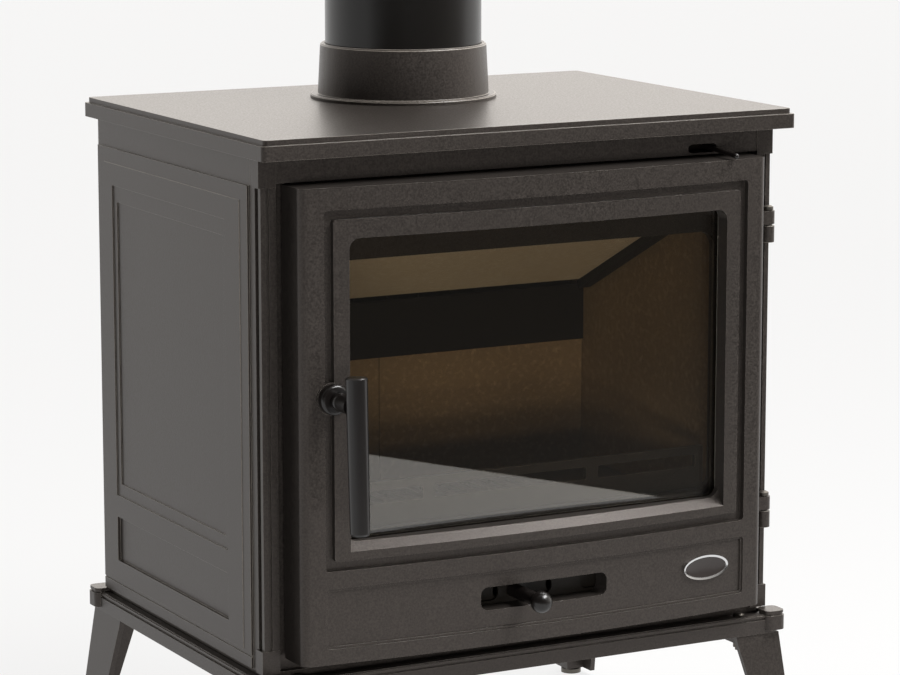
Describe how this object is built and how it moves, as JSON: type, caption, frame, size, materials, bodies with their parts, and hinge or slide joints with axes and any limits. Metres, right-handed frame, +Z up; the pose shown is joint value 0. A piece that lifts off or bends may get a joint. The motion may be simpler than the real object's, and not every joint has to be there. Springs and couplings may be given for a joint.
{
  "type": "wood burning stove",
  "caption": "Freestanding cast-iron wood burning stove on splayed legs, with a glazed door, turning handle, air slides, firebox lining and a top flue.",
  "frame": {"origin": "centre of the footprint (the bounding box of the legs and handle) on the floor", "axes": "+Z up, -Y out of the glazed front, +X to the right when facing the door (the hinge side)"},
  "size_m": [0.5716, 0.4916, 0.8988],
  "materials": {
    "stove_cast": "satin warm black stove paint",
    "black_steel": "satin black",
    "fastener_steel": "dull, oxidised",
    "handle_black": "satin black",
    "fire_board": "matte vermiculite board",
    "ceramic_glass": "clear polished",
    "rope": "woven glass fibre",
    "badge": "polished"
  },
  "bodies": {
    "stove": {"top_plate": "stove_cast", "flue_collar": "stove_cast", "collar_bolts": "fastener_steel", "flue_pipe": "black_steel", "front_frame": "stove_cast", "left_side_panel": "stove_cast", "right_side_panel": "stove_cast", "rear_panel": "stove_cast", "rear_outlet_cover": "stove_cast", "rear_cover_bolts": "fastener_steel", "base_plate": "stove_cast", "stand_frame": "stove_cast", "front_left_leg": "stove_cast", "front_right_leg": "stove_cast", "rear_left_leg": "stove_cast", "rear_right_leg": "stove_cast", "leg_bolts": "fastener_steel", "levelling_feet": "fastener_steel", "upper_hinge_bracket": "stove_cast", "lower_hinge_bracket": "stove_cast", "hinge_pins": "fastener_steel", "latch_keeper": "fastener_steel", "keeper_screws": "fastener_steel", "airwash_guides": "black_steel", "left_fire_brick": "fire_board", "right_fire_brick": "fire_board", "rear_left_fire_brick": "fire_board", "rear_right_fire_brick": "fire_board", "rear_air_duct": "black_steel", "rear_baffle_plate": "black_steel", "baffle_board": "fire_board", "left_baffle_ledge": "black_steel", "right_baffle_ledge": "black_steel", "log_guard": "stove_cast", "grate_bed": "stove_cast", "grate": "stove_cast", "ash_pan_runners": "black_steel", "ash_pan": "black_steel"},
    "door": {"door_casting": "stove_cast", "door_rope_seal": "rope", "door_glass": "ceramic_glass", "glass_gasket": "rope", "glass_clips": "fastener_steel", "glass_clip_screws": "fastener_steel", "badge_plate": "badge", "handle_boss": "handle_black", "air_slide_guides": "black_steel", "air_port_plate": "black_steel"},
    "air_slide": {"air_slide_plate": "black_steel", "air_slide_knob": "handle_black"},
    "handle": {"handle_spindle": "handle_black", "handle_bar": "handle_black", "latch_cam": "fastener_steel", "latch_nut": "fastener_steel"},
    "airwash_control": {"airwash_slide": "black_steel", "airwash_lever": "handle_black"}
  },
  "joints": [
    {"name": "door_hinge", "type": "hinge", "parent": "stove", "child": "door", "pos_m": [0.2578, -0.15606, 0.4], "axis": [0, 0, 1], "range_deg": [0, 110]},
    {"name": "handle_turn", "type": "hinge", "parent": "door", "child": "handle", "pos_m": [-0.2123, -0.17606, 0.4125], "axis": [0, 1, 0], "range_deg": [0, 75]},
    {"name": "primary_air_slide", "type": "slide", "parent": "door", "child": "air_slide", "axis": [1, 0, 0], "range_m": [-0.02, 0.064]},
    {"name": "airwash_air_slide", "type": "slide", "parent": "stove", "child": "airwash_control", "axis": [1, 0, 0], "range_m": [-0.022, 0]}
  ]
}
